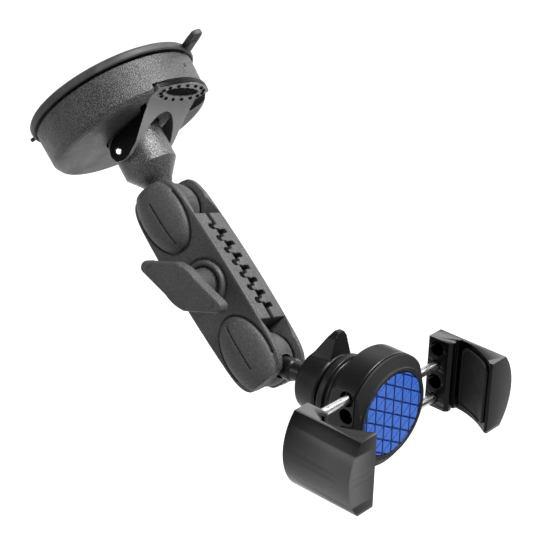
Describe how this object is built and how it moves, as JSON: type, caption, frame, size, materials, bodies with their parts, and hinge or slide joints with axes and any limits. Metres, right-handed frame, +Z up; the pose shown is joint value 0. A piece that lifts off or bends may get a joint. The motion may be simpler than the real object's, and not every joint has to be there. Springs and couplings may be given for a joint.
{
  "type": "suction cup phone holder",
  "caption": "Phone holder on a cam-lever suction cup, with a double-socket ball arm, a ring-nut ball joint and two curved jaws that slide on steel rods.",
  "frame": {"origin": "centre of the suction face", "axes": "+Z up with the phone upright, -Y from the round pad toward the user, +X along the rods to the right jaw"},
  "size_m": [0.1122, 0.2436, 0.1547],
  "materials": {
    "rubber": "satin moulded rubber",
    "housing": "fine-grained black plastic",
    "lever": "smooth mid-grey satin plastic",
    "post": "grainy cast grey with a slight sparkle",
    "arm": "fine-grained dark grey composite",
    "steel": "brushed",
    "holder": "satin black",
    "jaw": "satin black coated aluminium",
    "pad": "blue grip pad with a triangular groove pattern",
    "brass": "machined"
  },
  "bodies": {
    "base": {"suction_membrane": "rubber", "cup_housing": "housing", "plunger_spring": "steel"},
    "post": {"ball_post": "post", "membrane_plunger": "holder", "lever_pin": "steel"},
    "lever": {"cam_lever": "lever"},
    "upper_ball": {"base_ball_jacket": "rubber"},
    "arm": {"arm_front_shell": "arm", "arm_rear_shell": "arm", "clamp_bolt": "steel", "arm_spring": "steel", "knob_washer": "steel"},
    "knob": {"wing_knob": "arm", "knob_insert": "brass"},
    "lower_ball": {"adapter_ball_jacket": "rubber"},
    "adapter": {"ball_adapter": "holder"},
    "collet": {"socket_collet": "holder"},
    "hub": {"hub_housing": "holder", "hub_bezel": "holder", "hub_pad": "pad", "bezel_screw_1": "steel", "bezel_screw_2": "steel", "left_rod_bush_upper": "holder", "left_rod_bush_lower": "holder", "right_rod_bush_upper": "holder", "right_rod_bush_lower": "holder"},
    "nut": {"ring_nut": "holder"},
    "left_grip": {"left_jaw": "jaw", "left_jaw_pad": "rubber", "left_rod_upper": "steel", "left_rod_lower": "steel", "left_rod_clip_upper": "steel", "left_rod_clip_lower": "steel"},
    "right_grip": {"right_jaw": "jaw", "right_jaw_pad": "rubber", "right_rod_upper": "steel", "right_rod_lower": "steel", "right_rod_clip_upper": "steel", "right_rod_clip_lower": "steel"}
  },
  "joints": [
    {"name": "post_lift", "type": "slide", "parent": "base", "child": "post", "axis": [-0.0756, -0.7248, -0.6848], "range_m": [-0.003, 0]},
    {"name": "lever_cam", "type": "hinge", "parent": "post", "child": "lever", "pos_m": [-0.00324, -0.0226, -0.02391], "axis": [0.9247, 0.206, -0.3201], "range_deg": [0, 50]},
    {"name": "base_ball_turn", "type": "hinge", "parent": "post", "child": "upper_ball", "pos_m": [-0.00504, -0.04834, -0.04568], "axis": [-0.0756, -0.7248, -0.6848], "range_deg": [-180, 180]},
    {"name": "base_ball_tilt", "type": "hinge", "parent": "upper_ball", "child": "arm", "pos_m": [-0.00504, -0.04834, -0.04568], "axis": [-0.9397, -0.1244, 0.3186], "range_deg": [-38, 38]},
    {"name": "knob_turn", "type": "hinge", "parent": "arm", "child": "knob", "pos_m": [-0.0091, -0.08279, -0.0711], "axis": [-0.9397, -0.1244, 0.3186], "continuous": true},
    {"name": "adapter_tilt", "type": "hinge", "parent": "arm", "child": "lower_ball", "pos_m": [-0.01316, -0.11723, -0.09652], "axis": [-0.9397, -0.1244, 0.3186], "range_deg": [-80, 10]},
    {"name": "adapter_turn", "type": "hinge", "parent": "lower_ball", "child": "adapter", "pos_m": [-0.01316, -0.11723, -0.09652], "axis": [0, -0.9966, 0.0826], "range_deg": [-180, 180]},
    {"name": "holder_tilt", "type": "hinge", "parent": "adapter", "child": "collet", "pos_m": [-0.01316, -0.15101, -0.09372], "axis": [1, 0, 0], "range_deg": [-18, 18]},
    {"name": "holder_turn", "type": "hinge", "parent": "collet", "child": "hub", "pos_m": [-0.01316, -0.15101, -0.09372], "axis": [0, -1, 0], "continuous": true},
    {"name": "ring_nut_turn", "type": "hinge", "parent": "hub", "child": "nut", "pos_m": [-0.01316, -0.15101, -0.09372], "axis": [0, -1, 0], "continuous": true},
    {"name": "left_jaw_slide", "type": "slide", "parent": "hub", "child": "left_grip", "axis": [1, 0, 0], "range_m": [-0.002, 0.018]},
    {"name": "right_jaw_slide", "type": "slide", "parent": "hub", "child": "right_grip", "axis": [-1, 0, 0], "range_m": [-0.002, 0.018]}
  ],
  "couplings": [
    {"joint": "lever_cam", "follows": "post_lift", "rad_per_m": -290.86}
  ]
}
